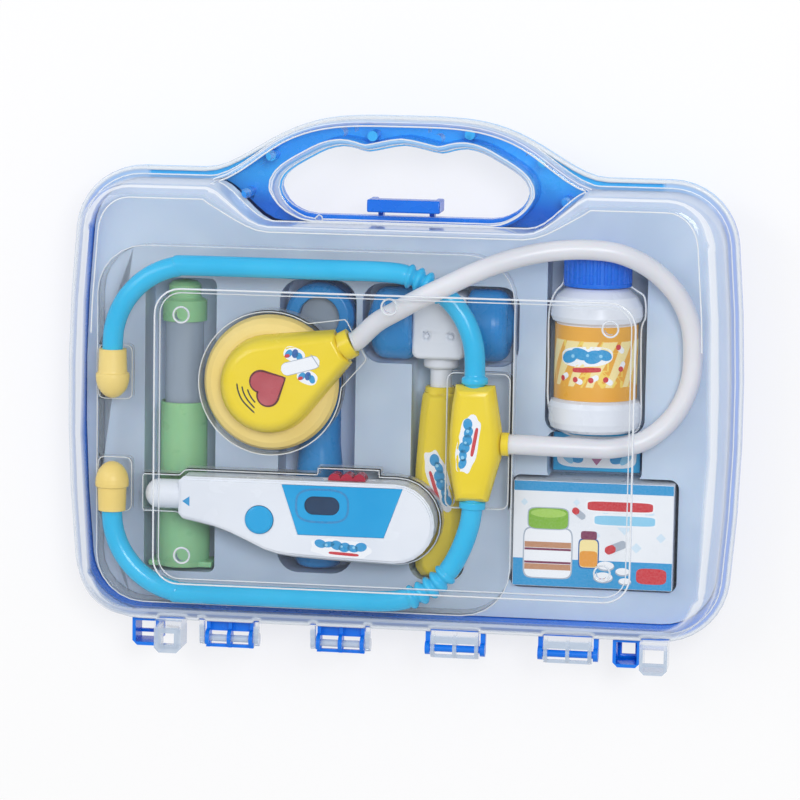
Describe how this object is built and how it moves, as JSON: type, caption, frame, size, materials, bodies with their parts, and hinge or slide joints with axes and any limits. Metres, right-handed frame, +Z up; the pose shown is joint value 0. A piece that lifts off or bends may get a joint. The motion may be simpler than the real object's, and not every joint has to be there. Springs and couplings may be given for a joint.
{
  "type": "toy doctor case",
  "caption": "Clear-fronted hinged toy carry case with a stethoscope, thermometer, syringe, reflex hammer, otoscope, medicine bottle and cartons in fitted trays.",
  "frame": {"origin": "centre of the bounding box's footprint, on the plane that the case's back panel rests on", "axes": "+X to the right seen from the clear front, +Y towards the handle, +Z up out of the clear lid"},
  "size_m": [0.28, 0.225, 0.06],
  "materials": {
    "blue_shell": "glossy moulded polypropylene",
    "clear_shell": "clear moulded polystyrene",
    "blue_trim": "glossy moulded plastic",
    "tray_sheet": "thermoformed sheet",
    "clear_sheet": "clear thermoformed sheet",
    "pale_yellow": "satin moulded plastic",
    "yellow": "glossy moulded plastic",
    "red": "glossy moulded plastic",
    "board": "coated board",
    "dark_plastic": "satin moulded plastic",
    "steel": "plated",
    "white_hose": "soft extruded tube",
    "cyan_tube": "glossy soft moulded tube",
    "white_plastic": "glossy moulded plastic",
    "sky_panel": "printed panel",
    "dark_window": "smoked window",
    "orange_label": "printed film",
    "printed_card": "printed card",
    "clear_barrel": "clear moulded plastic",
    "green": "glossy moulded plastic"
  },
  "bodies": {
    "case_base": {"rear_shell": "blue_shell", "parts_tray": "tray_sheet", "clear_blister": "clear_sheet", "chest_disc": "pale_yellow", "chest_cover": "yellow", "chest_collar": "yellow", "circuit_board": "board", "speaker": "dark_plastic", "button_cells": "steel", "battery_door": "pale_yellow", "chest_screws": "steel", "white_tube": "white_hose", "yoke_front": "yellow", "yoke_back": "yellow", "yoke_collar": "yellow", "upper_ear_tube": "cyan_tube", "lower_ear_tube": "cyan_tube", "upper_ear_tip": "pale_yellow", "lower_ear_tip": "pale_yellow", "thermometer_front": "white_plastic", "thermometer_back": "white_plastic", "thermometer_probe": "white_plastic", "display_panel": "sky_panel", "display_window": "dark_window", "thermometer_screws": "steel", "bottle_body": "white_plastic", "bottle_label": "orange_label", "medicine_carton": "printed_card", "small_carton": "printed_card", "syringe_barrel": "clear_barrel", "syringe_nozzle": "green", "hammer_block": "white_plastic", "hammer_left_end": "blue_trim", "hammer_right_end": "blue_trim", "hammer_shaft": "white_plastic", "hammer_handle": "yellow", "otoscope_handle": "blue_trim", "otoscope_head": "blue_trim", "otoscope_cone": "dark_plastic", "otoscope_lens": "clear_barrel"},
    "lid": {"lid_shell": "clear_shell"},
    "latch_body": {"latch": "blue_trim"},
    "heart_key": {"heart_button": "red"},
    "thermometer_key": {"thermometer_button": "blue_trim"},
    "slider_body": {"range_slider": "red"},
    "syringe_plunger": {"plunger_sleeve": "green", "plunger_rod": "white_plastic", "syringe_piston": "dark_plastic"},
    "cap_body": {"bottle_cap": "blue_trim"}
  },
  "joints": [
    {"name": "lid_hinge", "type": "hinge", "parent": "case_base", "child": "lid", "pos_m": [0, -0.1078, 0.03], "axis": [1, 0, 0], "range_deg": [0, 180]},
    {"name": "latch_pivot", "type": "hinge", "parent": "case_base", "child": "latch_body", "pos_m": [0, 0.0752, 0.024], "axis": [-1, 0, 0], "range_deg": [0, 95]},
    {"name": "heart_press", "type": "slide", "parent": "case_base", "child": "heart_key", "axis": [0, 0, -1], "range_m": [0, 0.0012], "stiffness_N_per_m": 400},
    {"name": "thermometer_press", "type": "slide", "parent": "case_base", "child": "thermometer_key", "axis": [0, 0, -1], "range_m": [0, 0.001], "stiffness_N_per_m": 400},
    {"name": "range_slide", "type": "slide", "parent": "case_base", "child": "slider_body", "axis": [1, 0, 0], "range_m": [-0.004, 0.004]},
    {"name": "plunger_slide", "type": "slide", "parent": "case_base", "child": "syringe_plunger", "axis": [0, 1, 0], "range_m": [0, 0.018]},
    {"name": "cap_turn", "type": "hinge", "parent": "case_base", "child": "cap_body", "pos_m": [0.0791, 0.051, 0.0233], "axis": [0, 1, 0], "continuous": true}
  ]
}
